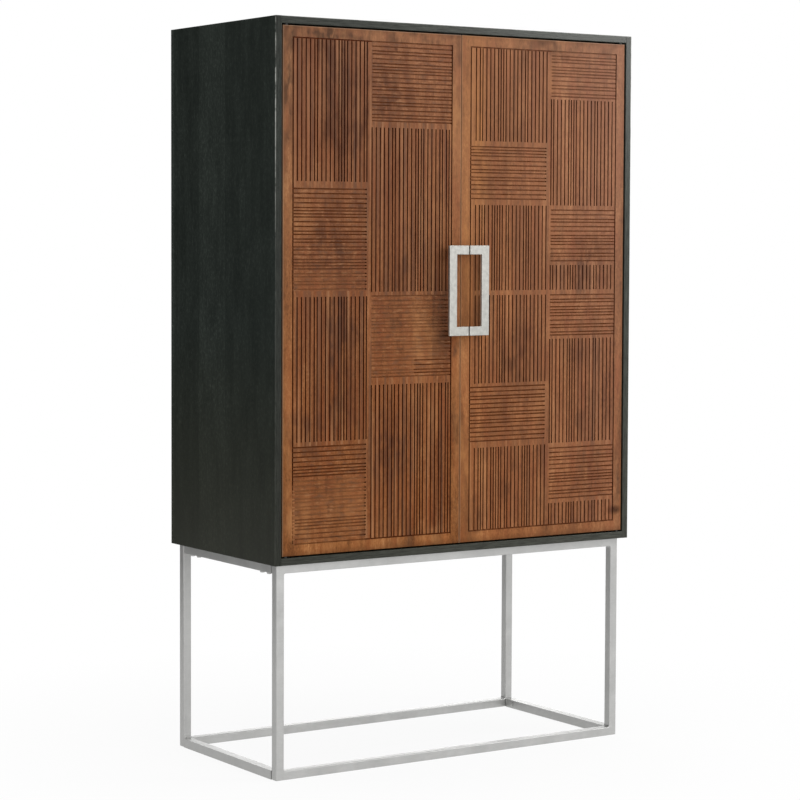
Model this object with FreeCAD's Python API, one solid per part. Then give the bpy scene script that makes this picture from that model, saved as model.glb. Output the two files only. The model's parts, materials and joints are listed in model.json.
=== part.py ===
import FreeCAD, Part
import os
from FreeCAD import Vector

os.makedirs("parts", exist_ok=True)

# Overall sizes, in millimetres
carcase_width = 965.0
carcase_depth = 470.0
carcase_height = 1177.0
base_height = 471.0

# Carcase boards
panel_thickness = 16.0
panel_edge_round = 1.2
back_thickness = 6.0
back_lap = 8.0
back_screw_length = 18.0
side_back_screw_shares = (0.06, 0.35, 0.65, 0.94)
end_back_screw_shares = (0.25, 0.75)

# Dowels
dowel_radius = 3.0
dowel_face_depth = 9.0
dowel_end_depth = 18.0
dowel_tip_room = 0.5
panel_dowel_shares = (0.15, 0.5, 0.85)
shelf_dowel_shares = (0.25, 0.75)

# Doors
door_thickness = 20.0
door_recess = 1.0
door_gap = 3.5
meeting_gap = 1.6
door_edge_round = 1.5

# Grooved field of the doors
border_width = 25.0
groove_width = 3.0
groove_depth = 3.0
outer_column_shares = (0.0, 0.455)
inner_column_shares = (0.487, 1.0)
step_shares = {"w": 1.5, "n": 1.0, "p": 2.0}

# Handles
handle_height = 201.0
handle_half_width = 53.5
handle_split = 3.0
handle_bar_width = 20.0
handle_thickness = 6.0
handle_standoff = 29.0
handle_edge_round = 0.8
post_inset = 3.0
post_width = 15.0
post_height = 16.0
handle_screw_grip = 14.0

# Pivot hinges
pivot_inset = 10.0
pivot_setback = 6.0
pivot_pin_radius = 2.5
pivot_pin_embed = 5.0
pivot_pin_tail = 8.0
pivot_pocket_room = 1.0
pivot_collar_radius = 5.0
leaf_length = 50.0
leaf_width = 12.0
leaf_thickness = 2.5
leaf_margin = 4.5
leaf_screw_length = 12.0
leaf_screw_shares = (0.5, 0.86)

# Magnetic catch and strike plates
catch_width = 70.0
catch_depth = 16.0
catch_height = 14.0
catch_edge_round = 1.0
catch_screw_length = 24.0
catch_screw_share = 0.3
strike_width = 26.0
strike_height = 12.0
strike_thickness = 1.5
strike_inset = 6.0
strike_drop = 1.5
strike_screw_length = 12.0
strike_screw_shares = (0.25, 0.75)

# Shelves and divider
shelf_clearance = 9.0
fixed_shelf_height = 544.0
stemware_shelf_height = 290.0
lower_shelf_height = 262.0
shelf_play = 0.75
peg_radius = 2.5
peg_embed = 8.0
peg_rest_length = 10.0
peg_rest_width = 7.0
peg_rest_height = 5.0
peg_hole_pitch = 32.0
peg_holes_each_way = 2
peg_depth_shares = (0.15, 0.85)

# Stemware rails
stem_rail_count = 4
stem_rail_pitch = 100.0
stem_width = 12.0
stem_height = 14.0
flange_width = 34.0
flange_thickness = 8.0
stem_rail_setback = 10.0
stem_screw_length = 28.0
stem_screw_shares = (0.15, 0.85)

# Bottle rack
rack_thickness = 9.0
rack_columns = 4
rack_rows = 4

# Base of square tube
tube_size = 20.0
tube_wall = 1.5
base_side_inset = 15.0
base_front_inset = 18.5
base_back_inset = 12.0
weld_leg = 4.0
weld_hollow_share = 0.36
rail_seam = 2.2
connector_length = 42.0
connector_bolt_place = 25.0
connector_bolt_length = 12.0
fixing_screw_place = 54.0
fixing_screw_grip = 12.0

# Screws
flat_head_radius = 3.2
flat_head_height = 1.8
flat_shank_radius = 1.6
round_head_radius = 4.5
round_head_height = 2.8
round_head_edge = 1.4
round_shank_radius = 2.2
tall_head_radius = 5.5
tall_head_height = 5.0
tall_head_edge = 1.8

# Fits and cuts
fit_play = 0.05
slide_play = 0.15
swing_play = 0.1
touch_play = 0.3
overrun = 5.0

# Rhythms of the grooves: w is a wide step, n a narrow one and p a plain strip
rhythm_outer = "wwwwwnwwwwwnnnwwwwn"
rhythm_inner = "wwwwwnwwwwwnnnwwwwnwnn"
rhythm_inner_plain = "wwwwwnwwwwwnnnwwwwnwp"
rhythm_inner_shifted = "wwwwnnnwwwwnwnnnnwwnnwp"

# Blocks of each column from the top: direction, where it starts and ends, and its rhythm
left_outer_shares = (
    ("upright", 0.0, 0.281, rhythm_outer),
    ("level", 0.296, 0.495, "wwwwnnnwwwnwnwnwwnnnwnwnw"),
    ("upright", 0.510, 0.798, rhythm_outer),
    ("level", 0.808, 1.0, "wwwwnnnwwwnwnwnwwnnnwww"),
)
left_inner_shares = (
    ("level", 0.0, 0.158, "wwnwwnnnwwwnwnwnwwnn"),
    ("upright", 0.171, 0.501, rhythm_inner),
    ("level", 0.510, 0.673, "wwnwwnnnwwwnwnwnwwnn"),
    ("upright", 0.689, 1.0, rhythm_inner),
)
right_outer_shares = (
    ("level", 0.0, 0.094, "wnnwnnnwwnwn"),
    ("upright", 0.100, 0.323, rhythm_outer),
    ("level", 0.333, 0.440, "wwnwwwnnnwwnw"),
    ("upright", 0.449, 0.501, rhythm_outer),
    ("level", 0.512, 0.597, "wnwnnnwwnwn"),
    ("upright", 0.605, 0.826, rhythm_outer),
    ("level", 0.837, 0.944, "wwnwwwnnnwwnw"),
    ("upright", 0.954, 1.0, rhythm_outer),
)
right_inner_shares = (
    ("upright", 0.0, 0.192, rhythm_inner_plain),
    ("level", 0.204, 0.311, "nnnwwwnwnwwww"),
    ("upright", 0.324, 0.501, rhythm_inner_shifted),
    ("upright", 0.511, 0.694, rhythm_inner_plain),
    ("level", 0.702, 0.814, "wwnwwwnwnwwww"),
    ("upright", 0.828, 1.0, rhythm_inner_shifted),
)

# Places worked out from the sizes; the origin is under the middle of the whole outline
half_width = carcase_width / 2
inner_half = half_width - panel_thickness
handle_reach = handle_standoff + handle_thickness - door_recess
front_y = (handle_reach - carcase_depth) / 2
back_y = front_y + carcase_depth
back_face_y = back_y - back_thickness
cabinet_low = base_height
cabinet_high = base_height + carcase_height
floor_z = cabinet_low + panel_thickness
ceiling_z = cabinet_high - panel_thickness

door_front = front_y + door_recess
door_back = door_front + door_thickness
door_low = floor_z + door_gap
door_high = ceiling_z - door_gap
door_outer = inner_half - door_gap
door_inner = meeting_gap / 2
field_outer = door_outer - border_width
field_inner = door_inner + border_width
field_low = door_low + border_width
field_high = door_high - border_width

handle_mid = (cabinet_low + cabinet_high) / 2
handle_back = door_front - handle_standoff
handle_front = handle_back - handle_thickness
arm_mid = handle_height / 2 - handle_bar_width / 2
post_inner = handle_split / 2 + post_inset
post_mid = post_inner + post_width / 2

pivot_x = door_outer - pivot_inset
pivot_y = door_front + pivot_setback
leaf_outer = pivot_x + leaf_margin
leaf_front = pivot_y - leaf_margin
leaf_mid_y = leaf_front + leaf_width / 2

shelf_front = door_back + shelf_clearance
shelf_low = floor_z + fixed_shelf_height
shelf_high = shelf_low + panel_thickness
divider_half = panel_thickness / 2

base_outer = half_width - base_side_inset
base_inner = base_outer - tube_size
base_front = front_y + base_front_inset
base_back = back_y - base_back_inset
rail_front = base_front + tube_size + rail_seam
rail_back = base_back - tube_size - rail_seam
tube_mid_x = base_outer - tube_size / 2

SIDES = (("left", -1), ("right", 1))
RIGHTWARD = Vector(1, 0, 0)
REARWARD = Vector(0, 1, 0)
UPWARD = Vector(0, 0, 1)

solids = {}
cuts = {}


def share_place(low, high, share):
    """Place that lies a share of the way from low to high."""
    return low + (high - low) * share


def block(x_ends, y_ends, z_ends):
    """Box between two places on each axis, given in either order."""
    lows = [min(ends) for ends in (x_ends, y_ends, z_ends)]
    highs = [max(ends) for ends in (x_ends, y_ends, z_ends)]
    sizes = [high - low for low, high in zip(lows, highs)]
    return Part.makeBox(*sizes, Vector(*lows))


def side_block(sign, x_ends, y_ends, z_ends):
    """Box on the left (-1) or right (1) side, its x places measured from the middle."""
    return block([sign * place for place in x_ends], y_ends, z_ends)


def prism(points, depth):
    """Straight-sided outline, pushed through by a depth vector."""
    return Part.Face(Part.makePolygon(points + points[:1])).extrude(depth)


def rounded(shape, radius, chosen):
    """Shape with the chosen edges rounded."""
    edges = [edge for edge in shape.Edges if chosen(edge)]
    return shape.makeFillet(radius, edges)


def lies_at(edge, axis, place):
    """Whether the whole edge lies at one place on an axis."""
    return all(abs(getattr(vertex.Point, axis) - place) < fit_play for vertex in edge.Vertexes)


def placed(shape, at, along):
    """Shape made along +Z at the origin, moved to a point and turned along a direction."""
    shape.Placement = FreeCAD.Placement(at, FreeCAD.Rotation(UPWARD, along))
    return shape


def flat_screw(at, along, length, play=0.0):
    """Countersunk screw with its head flush at a point; play makes its hole."""
    head = Part.makeCone(flat_head_radius + play, flat_shank_radius + play, flat_head_height)
    shank = Part.makeCylinder(flat_shank_radius + play, length + play)
    return placed(head.fuse(shank).removeSplitter(), at, along)


ROUND_HEAD = (round_head_radius, round_head_height, round_head_edge)
TALL_HEAD = (tall_head_radius, tall_head_height, tall_head_edge)


def round_screw(at, along, length, head_sizes=ROUND_HEAD):
    """Domed screw seated at a point, with its head standing back from it."""
    radius, height, edge_round = head_sizes
    head = Part.makeCylinder(radius, height, Vector(0, 0, -height))
    head = rounded(head, edge_round, lambda edge: lies_at(edge, "z", -height))
    shank = Part.makeCylinder(round_shank_radius, length)
    return placed(head.fuse(shank), at, along)


def round_screw_hole(at, along, length):
    """Hole for the shank of a domed screw."""
    return placed(Part.makeCylinder(round_shank_radius + fit_play, length + fit_play), at, along)


def drill(nodes, tool):
    """Note a cut to be made in each of the nodes."""
    for node in nodes:
        cuts.setdefault(node, []).append(tool)


def add_group(node, members):
    """Store identical small pieces as one group of separate solids."""
    solids[node] = Part.makeCompound(members)


def make_carcase():
    """Two full-height sides, a top and a bottom between them and a back let into their rear edges."""
    whole_depth = (front_y, back_y)
    for side, sign in SIDES:
        panel = side_block(sign, (inner_half, half_width), whole_depth, (cabinet_low, cabinet_high))

        def outside(edge, at=sign * half_width):
            at_end = lies_at(edge, "z", cabinet_low) or lies_at(edge, "z", cabinet_high)
            return lies_at(edge, "x", at) or (lies_at(edge, "y", front_y) and not at_end)

        solids[f"{side}_side_panel"] = rounded(panel, panel_edge_round, outside)
    ends = {"top_panel": (ceiling_z, cabinet_high), "bottom_panel": (cabinet_low, floor_z)}
    for node, z_ends in ends.items():
        panel = block((-inner_half, inner_half), whole_depth, z_ends)

        def front_edges(edge, ends=z_ends):
            level = lies_at(edge, "z", ends[0]) or lies_at(edge, "z", ends[1])
            return level and lies_at(edge, "y", front_y)

        solids[node] = rounded(panel, panel_edge_round, front_edges)
    back_half = inner_half + back_lap
    back_low = floor_z - back_lap
    back_high = ceiling_z + back_lap
    back = block((-back_half, back_half), (back_face_y, back_y), (back_low, back_high))
    solids["back_panel"] = back
    rebate = block((-back_half, back_half), (back_face_y, back_y + overrun), (back_low, back_high))
    boards = ("left_side_panel", "right_side_panel", "top_panel", "bottom_panel")
    drill(boards, rebate)
    make_back_screws(boards)


def make_back_screws(boards):
    """Countersunk screws through the lapped edge of the back into each board."""
    lap_mid = inner_half + back_lap / 2
    places = []
    for share in side_back_screw_shares:
        z = share_place(floor_z, ceiling_z, share)
        places += [(-lap_mid, z), (lap_mid, z)]
    for share in end_back_screw_shares:
        x = share_place(-inner_half, inner_half, share)
        places += [(x, floor_z - back_lap / 2), (x, ceiling_z + back_lap / 2)]
    screws = []
    for x, z in places:
        at = Vector(x, back_y, z)
        screws.append(flat_screw(at, -REARWARD, back_screw_length))
        drill(boards + ("back_panel",), flat_screw(at, -REARWARD, back_screw_length, fit_play))
    add_group("back_panel_screws", screws)


def make_shelves():
    """Fixed shelf, centre divider below it and two loose shelves on pegs."""
    shelf_depth = (shelf_front, back_face_y)
    solids["fixed_shelf"] = block((-inner_half, inner_half), shelf_depth, (shelf_low, shelf_high))
    solids["centre_divider"] = block((-divider_half, divider_half), shelf_depth, (floor_z, shelf_low))
    loose_depth = (shelf_front, back_face_y - shelf_play)
    stemware_low = shelf_high + stemware_shelf_height
    loose_half = inner_half - shelf_play
    solids["stemware_shelf"] = block(
        (-loose_half, loose_half), loose_depth, (stemware_low, stemware_low + panel_thickness)
    )
    lower_low = floor_z + lower_shelf_height
    solids["lower_shelf"] = block(
        (-loose_half, -divider_half - shelf_play), loose_depth, (lower_low, lower_low + panel_thickness)
    )
    pegs = []
    pegs += shelf_pegs("left_side_panel", -inner_half, 1, stemware_low, loose_depth)
    pegs += shelf_pegs("right_side_panel", inner_half, -1, stemware_low, loose_depth)
    pegs += shelf_pegs("left_side_panel", -inner_half, 1, lower_low, loose_depth)
    pegs += shelf_pegs("centre_divider", -divider_half, -1, lower_low, loose_depth)
    add_group("shelf_pins", pegs)
    return stemware_low, loose_depth


def shelf_pegs(board, face_x, inward, shelf_z, depth_ends):
    """Two pegs on one board, with the column of spare holes that each stands in."""
    pegs = []
    peg_z = shelf_z - peg_rest_height / 2
    into_board = RIGHTWARD * -inward
    for share in peg_depth_shares:
        y = share_place(*depth_ends, share)
        peg = Part.makeCylinder(peg_radius, peg_embed, Vector(face_x, y, peg_z), into_board)
        rest = block(
            (face_x, face_x + inward * peg_rest_length),
            (y - peg_rest_width / 2, y + peg_rest_width / 2),
            (shelf_z - peg_rest_height, shelf_z),
        )
        pegs.append(rest.fuse(peg))
        for step in range(-peg_holes_each_way, peg_holes_each_way + 1):
            mouth = Vector(face_x, y, peg_z + step * peg_hole_pitch)
            hole_depth = peg_embed + dowel_tip_room
            drill([board], Part.makeCylinder(peg_radius + fit_play, hole_depth, mouth, into_board))
    return pegs


def make_dowels():
    """Dowels between the boards; each point lies on the joint, with a direction into the crossing board."""
    joints = []
    for side, sign in SIDES:
        into_side = RIGHTWARD * sign
        side_node = f"{side}_side_panel"
        for node, z in (
            ("top_panel", ceiling_z + panel_thickness / 2),
            ("bottom_panel", floor_z - panel_thickness / 2),
        ):
            for share in panel_dowel_shares:
                at = Vector(sign * inner_half, share_place(front_y, back_y, share), z)
                joints.append((at, into_side, side_node, node))
        for share in shelf_dowel_shares:
            y = share_place(shelf_front, back_face_y, share)
            at = Vector(sign * inner_half, y, shelf_low + panel_thickness / 2)
            joints.append((at, into_side, side_node, "fixed_shelf"))
    for share in shelf_dowel_shares:
        y = share_place(shelf_front, back_face_y, share)
        joints.append((Vector(0, y, floor_z), -UPWARD, "bottom_panel", "centre_divider"))
        joints.append((Vector(0, y, shelf_low), UPWARD, "fixed_shelf", "centre_divider"))
    dowels = []
    for at, inward, crossing, ending in joints:
        dowel_length = dowel_face_depth + dowel_end_depth
        dowels.append(Part.makeCylinder(dowel_radius, dowel_length, at - inward * dowel_end_depth, inward))
        start = at - inward * (dowel_end_depth + dowel_tip_room)
        hole_length = dowel_length + dowel_tip_room * 2
        drill([crossing, ending], Part.makeCylinder(dowel_radius + fit_play, hole_length, start, inward))
    add_group("panel_dowels", dowels)


def make_stemware_rails(shelf_z, depth_ends):
    """Rails of T section under the stemware shelf, for the feet of glasses to slide between."""
    ends = (depth_ends[0] + stem_rail_setback, depth_ends[1] - stem_rail_setback)
    flange_high = shelf_z - stem_height
    screws = []
    for index in range(stem_rail_count):
        x = (index - (stem_rail_count - 1) / 2) * stem_rail_pitch
        stem = block((x - stem_width / 2, x + stem_width / 2), ends, (flange_high, shelf_z))
        flange_z = (flange_high - flange_thickness, flange_high)
        flange = block((x - flange_width / 2, x + flange_width / 2), ends, flange_z)
        node = f"stemware_rail_{index + 1}"
        solids[node] = stem.fuse(flange).removeSplitter()
        for share in stem_screw_shares:
            at = Vector(x, share_place(*ends, share), shelf_z + panel_thickness)
            screws.append(flat_screw(at, -UPWARD, stem_screw_length))
            drill(["stemware_shelf", node], flat_screw(at, -UPWARD, stem_screw_length, fit_play))
    add_group("stemware_rail_screws", screws)


def make_bottle_rack():
    """Half-lapped boards that part the lower right bay into bottle cells."""
    bay_x = (divider_half, inner_half)
    bay_z = (floor_z, shelf_low)
    depth_ends = (shelf_front, back_face_y)
    lap_y = share_place(*depth_ends, 1 / 2)
    cell_width = (bay_x[1] - bay_x[0] - rack_thickness * (rack_columns - 1)) / rack_columns
    cell_height = (bay_z[1] - bay_z[0] - rack_thickness * (rack_rows - 1)) / rack_rows
    upright_starts = [
        bay_x[0] + cell_width * column + rack_thickness * (column - 1) for column in range(1, rack_columns)
    ]
    level_starts = [
        bay_z[0] + cell_height * row + rack_thickness * (row - 1) for row in range(1, rack_rows)
    ]
    for number, x in enumerate(upright_starts, 1):
        solids[f"bottle_rack_upright_{number}"] = block((x, x + rack_thickness), depth_ends, bay_z)
    for number, z in enumerate(level_starts, 1):
        solids[f"bottle_rack_level_{number}"] = block(bay_x, depth_ends, (z, z + rack_thickness))
    for upright, x in enumerate(upright_starts, 1):
        for level, z in enumerate(level_starts, 1):
            wide = (x - slide_play, x + rack_thickness + slide_play)
            tall = (z - slide_play, z + rack_thickness + slide_play)
            rear_slot = block(wide, (lap_y, back_face_y + overrun), tall)
            front_slot = block(wide, (shelf_front - overrun, lap_y), tall)
            drill([f"bottle_rack_upright_{upright}"], rear_slot)
            drill([f"bottle_rack_level_{level}"], front_slot)


def rhythm_places(rhythm, start, end):
    """Groove centres from start to end, spaced as the rhythm says."""
    total = sum(step_shares[step] for step in rhythm)
    walked = 0
    places = [start]
    for step in rhythm:
        walked += step_shares[step]
        places.append(share_place(start, end, walked / total))
    return places


def off_border(place, first_border, last_border):
    """Whether a groove centre is clear of both border grooves."""
    return min(abs(place - first_border), abs(place - last_border)) > groove_width


def groove(sign, x_ends, z_ends):
    """Cut for one groove, from in front of the door to the groove's floor."""
    return side_block(sign, x_ends, (door_front - overrun, door_front + groove_depth), z_ends)


def block_grooves(sign, column_shares, layout):
    """Grooves of one column of blocks on the door of one side."""
    column_ends = [share_place(field_outer, field_inner, share) for share in column_shares]
    reach = groove_width / 2
    tools = []
    for direction, top_share, bottom_share, rhythm in layout:
        high = share_place(field_high, field_low, top_share)
        low = share_place(field_high, field_low, bottom_share)
        if direction == "upright":
            for x in rhythm_places(rhythm, *column_ends):
                if off_border(x, field_outer, field_inner):
                    tools.append(groove(sign, (x - reach, x + reach), (low, high)))
        else:
            for z in rhythm_places(rhythm, high, low):
                if off_border(z, field_high, field_low):
                    tools.append(groove(sign, column_ends, (z - reach, z + reach)))
    return tools


def border_grooves(sign):
    """Four grooves that frame the field of one door."""
    reach = groove_width / 2
    wide = (field_inner - reach, field_outer + reach)
    tall = (field_low - reach, field_high + reach)
    tools = [groove(sign, (x - reach, x + reach), tall) for x in (field_inner, field_outer)]
    tools += [groove(sign, wide, (z - reach, z + reach)) for z in (field_low, field_high)]
    return tools


def make_door(side, sign, outer_layout, inner_layout):
    """Door panel with softened front edges and its grooved field."""
    panel = side_block(sign, (door_inner, door_outer), (door_front, door_back), (door_low, door_high))
    node = f"{side}_door_panel"
    solids[node] = rounded(panel, door_edge_round, lambda edge: lies_at(edge, "y", door_front))
    for tool in border_grooves(sign):
        drill([node], tool)
    for column_shares, layout in ((outer_column_shares, outer_layout), (inner_column_shares, inner_layout)):
        for tool in block_grooves(sign, column_shares, layout):
            drill([node], tool)


def make_handle(side, sign):
    """Flat bar bent to a C, with a post behind each arm and a screw through the door into each post."""
    half_height = handle_height / 2
    window_half = half_height - handle_bar_width
    bar_depth = (handle_front, handle_back)
    outline = side_block(
        sign,
        (handle_split / 2, handle_half_width),
        bar_depth,
        (handle_mid - half_height, handle_mid + half_height),
    )
    window = side_block(
        sign,
        (handle_split / 2 - overrun, handle_half_width - handle_bar_width),
        (handle_front - overrun, handle_back + overrun),
        (handle_mid - window_half, handle_mid + window_half),
    )
    bar = outline.cut(window)
    bar = rounded(bar, handle_edge_round, lambda edge: lies_at(edge, "y", handle_front))
    door = f"{side}_door_panel"
    node = f"{side}_handle"
    screws = []
    for arm_z in (handle_mid - arm_mid, handle_mid + arm_mid):
        post = side_block(
            sign,
            (post_inner, post_inner + post_width),
            (handle_back, door_front),
            (arm_z - post_height / 2, arm_z + post_height / 2),
        )
        bar = bar.fuse(post)
        at = Vector(sign * post_mid, door_back, arm_z)
        screw_length = door_thickness + handle_screw_grip
        screws.append(round_screw(at, -REARWARD, screw_length))
        drill([door, node], round_screw_hole(at, -REARWARD, screw_length))
    solids[node] = bar.removeSplitter()
    add_group(f"{side}_handle_screws", screws)


def make_hinges(side, sign):
    """Leaves at the top and bottom of one door and in the carcase; returns pins and frame screws."""
    door = f"{side}_door_panel"
    pins = []
    frame_screws = []
    door_screws = []
    for level, board, board_z, door_z, toward_door in (
        ("top", "top_panel", ceiling_z, door_high, -1),
        ("bottom", "bottom_panel", floor_z, door_low, 1),
    ):
        into_door = UPWARD * toward_door
        leaf_x = (leaf_outer, leaf_outer - leaf_length)
        leaf_y = (leaf_front, leaf_front + leaf_width)
        frame_leaf = f"{side}_{level}_frame_leaf"
        door_leaf = f"{side}_{level}_door_leaf"
        frame_plate = side_block(sign, leaf_x, leaf_y, (board_z - toward_door * leaf_thickness, board_z))
        door_plate = side_block(sign, leaf_x, leaf_y, (door_z, door_z + toward_door * leaf_thickness))
        solids[frame_leaf] = frame_plate
        solids[door_leaf] = door_plate
        drill([board], frame_plate)
        drill([door], door_plate)

        at_board = Vector(sign * pivot_x, pivot_y, board_z)
        at_door = Vector(sign * pivot_x, pivot_y, door_z)
        root = at_board - into_door * (leaf_thickness + pivot_pin_embed)
        pin_length = leaf_thickness * 2 + pivot_pin_embed + door_gap + pivot_pin_tail
        pin = Part.makeCylinder(pivot_pin_radius, pin_length, root, into_door)
        collar = Part.makeCylinder(pivot_collar_radius, door_gap - swing_play, at_board, into_door)
        pins.append(pin.fuse(collar))
        pin_hole = Part.makeCylinder(pivot_pin_radius + fit_play, pin_length, root, into_door)
        drill([board, frame_leaf, door_leaf], pin_hole)
        pocket_radius = pivot_pin_radius + pivot_pocket_room
        pocket_length = leaf_thickness + pivot_pin_tail + pivot_pocket_room
        drill([door], Part.makeCylinder(pocket_radius, pocket_length, at_door, into_door))

        for share in leaf_screw_shares:
            x = sign * share_place(leaf_outer, leaf_outer - leaf_length, share)
            on_frame = Vector(x, leaf_mid_y, board_z)
            on_door = Vector(x, leaf_mid_y, door_z)
            frame_screws.append(flat_screw(on_frame, -into_door, leaf_screw_length))
            door_screws.append(flat_screw(on_door, into_door, leaf_screw_length))
            drill([board, frame_leaf], flat_screw(on_frame, -into_door, leaf_screw_length, fit_play))
            drill([door, door_leaf], flat_screw(on_door, into_door, leaf_screw_length, fit_play))
    return pins, frame_screws, door_screws


def make_strike(side, sign):
    """Steel plate on the back of a door, near its top and its meeting edge; returns its screws."""
    x_ends = (door_inner + strike_inset, door_inner + strike_inset + strike_width)
    y_ends = (door_back, door_back + strike_thickness)
    z_ends = (door_high - strike_drop - strike_height, door_high - strike_drop)
    node = f"{side}_strike_plate"
    solids[node] = side_block(sign, x_ends, y_ends, z_ends)
    screws = []
    for share in strike_screw_shares:
        at = Vector(sign * share_place(*x_ends, share), y_ends[1], share_place(*z_ends, 1 / 2))
        screws.append(flat_screw(at, -REARWARD, strike_screw_length))
        drill([node, f"{side}_door_panel"], flat_screw(at, -REARWARD, strike_screw_length, fit_play))
    return screws


def make_catch():
    """Double magnetic catch under the top panel, a hair behind both strike plates; returns its screws."""
    catch_front = door_back + strike_thickness + touch_play
    y_ends = (catch_front, catch_front + catch_depth)
    catch_low = ceiling_z - catch_height
    body = block((-catch_width / 2, catch_width / 2), y_ends, (catch_low, ceiling_z))
    solids["magnetic_catch"] = rounded(body, catch_edge_round, lambda edge: lies_at(edge, "z", catch_low))
    screws = []
    for sign in (-1, 1):
        at = Vector(sign * catch_width * catch_screw_share, share_place(*y_ends, 1 / 2), catch_low)
        screws.append(flat_screw(at, UPWARD, catch_screw_length))
        drill(["magnetic_catch", "top_panel"], flat_screw(at, UPWARD, catch_screw_length, fit_play))
    return screws


def make_doors():
    """Both doors with their handles and hinges, and the hardware they share with the carcase."""
    layouts = {
        "left": (left_outer_shares, left_inner_shares),
        "right": (right_outer_shares, right_inner_shares),
    }
    pins = []
    frame_screws = []
    for side, sign in SIDES:
        make_door(side, sign, *layouts[side])
        make_handle(side, sign)
        side_pins, side_frame_screws, door_screws = make_hinges(side, sign)
        pins += side_pins
        frame_screws += side_frame_screws
        add_group(f"{side}_door_screws", door_screws + make_strike(side, sign))
    add_group("hinge_pins", pins)
    add_group("frame_hardware_screws", frame_screws + make_catch())


def mitred_tube(corner, length_step, inward_step, length):
    """Square tube in a welded frame, from an outer corner, cut to 45 degrees at both ends."""
    def trapezium(near, far, y):
        points = []
        for across, along in ((near, near), (near, length - near), (far, length - far), (far, far)):
            points.append(corner + inward_step * across + length_step * along + REARWARD * y)
        return points

    outside = prism(trapezium(0, tube_size, 0), REARWARD * tube_size)
    hollow_depth = tube_size - tube_wall * 2
    hollow = prism(trapezium(tube_wall, tube_size - tube_wall, tube_wall), REARWARD * hollow_depth)
    return outside.cut(hollow)


def weld_bead(corner, along, across):
    """Hollow-faced bead in an inner corner of a frame."""
    first = corner + along * weld_leg
    last = corner + across * weld_leg
    middle = corner + (along + across) * weld_leg * weld_hollow_share
    edges = [
        Part.LineSegment(corner, first).toShape(),
        Part.Arc(first, middle, last).toShape(),
        Part.LineSegment(last, corner).toShape(),
    ]
    return Part.Face(Part.Wire(edges)).extrude(REARWARD * tube_size)


def make_frames():
    """Front and back frames of the base, each two legs and two rails mitred and welded."""
    rail_length = base_outer * 2
    for end, y in (("front", base_front), ("back", base_back - tube_size)):
        for side, sign in SIDES:
            corner = Vector(sign * base_outer, y, 0)
            solids[f"{end}_{side}_leg"] = mitred_tube(corner, UPWARD, RIGHTWARD * -sign, base_height)
        for level, z, upward in (("bottom", 0, 1), ("top", base_height, -1)):
            inward = UPWARD * upward
            rail = mitred_tube(Vector(-base_outer, y, z), RIGHTWARD, inward, rail_length)
            for sign in (-1, 1):
                inner_corner = Vector(sign * base_inner, y, z) + inward * tube_size
                rail = rail.fuse(weld_bead(inner_corner, RIGHTWARD * -sign, inward))
            solids[f"{end}_{level}_rail"] = rail.removeSplitter()


def make_side_rails():
    """Side rails of the base, slid over connectors on the legs and held by bolts."""
    connectors = []
    bolts = []
    fixings = []
    for side, sign in SIDES:
        for level, low in (("bottom", 0), ("top", base_height - tube_size)):
            node = f"{side}_{level}_side_rail"
            rail_y_ends = (rail_front, rail_back)
            outer = side_block(sign, (base_inner, base_outer), rail_y_ends, (low, low + tube_size))
            bore_x = (base_inner + tube_wall, base_outer - tube_wall)
            bore_z = (low + tube_wall, low + tube_size - tube_wall)
            bore = side_block(sign, bore_x, (rail_front - overrun, rail_back + overrun), bore_z)
            solids[node] = outer.cut(bore)
            for leg_y, rail_y, inward in (
                (base_front + tube_size, rail_front, 1),
                (base_back - tube_size, rail_back, -1),
            ):
                connector = side_block(
                    sign,
                    (bore_x[0] + slide_play, bore_x[1] - slide_play),
                    (leg_y, leg_y + inward * connector_length),
                    (bore_z[0] + slide_play, bore_z[1] - slide_play),
                )
                bolt_y = rail_y + inward * connector_bolt_place
                if level == "top":
                    at = Vector(sign * tube_mid_x, bolt_y, low)
                    along = UPWARD
                    head_sizes = TALL_HEAD
                    fixing_at = Vector(sign * tube_mid_x, rail_y + inward * fixing_screw_place, low)
                    fixing_length = tube_size + fixing_screw_grip
                    fixings.append(round_screw(fixing_at, UPWARD, fixing_length, TALL_HEAD))
                    drill([node, "bottom_panel"], round_screw_hole(fixing_at, UPWARD, fixing_length))
                else:
                    at = Vector(sign * base_inner, bolt_y, low + tube_size / 2)
                    along = RIGHTWARD * sign
                    head_sizes = ROUND_HEAD
                bolts.append(round_screw(at, along, connector_bolt_length, head_sizes))
                hole = round_screw_hole(at, along, connector_bolt_length)
                connectors.append(connector.cut(hole))
                drill([node], hole)
    add_group("side_rail_connectors", connectors)
    add_group("connector_bolts", bolts)
    add_group("cabinet_fixing_screws", fixings)


def write_parts():
    """Make the noted cuts and write one file per node."""
    for node, shape in solids.items():
        if node in cuts:
            shape = shape.cut(tuple(cuts[node]))
        shape.exportStep(f"parts/{node}.step")


make_carcase()
stemware_shelf_low, loose_shelf_depth = make_shelves()
make_dowels()
make_stemware_rails(stemware_shelf_low, loose_shelf_depth)
make_bottle_rack()
make_doors()
make_frames()
make_side_rails()
write_parts()
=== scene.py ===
import json
import math
from typing import NamedTuple

import bmesh
import bpy
from mathutils import Euler, Matrix, Vector


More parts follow.
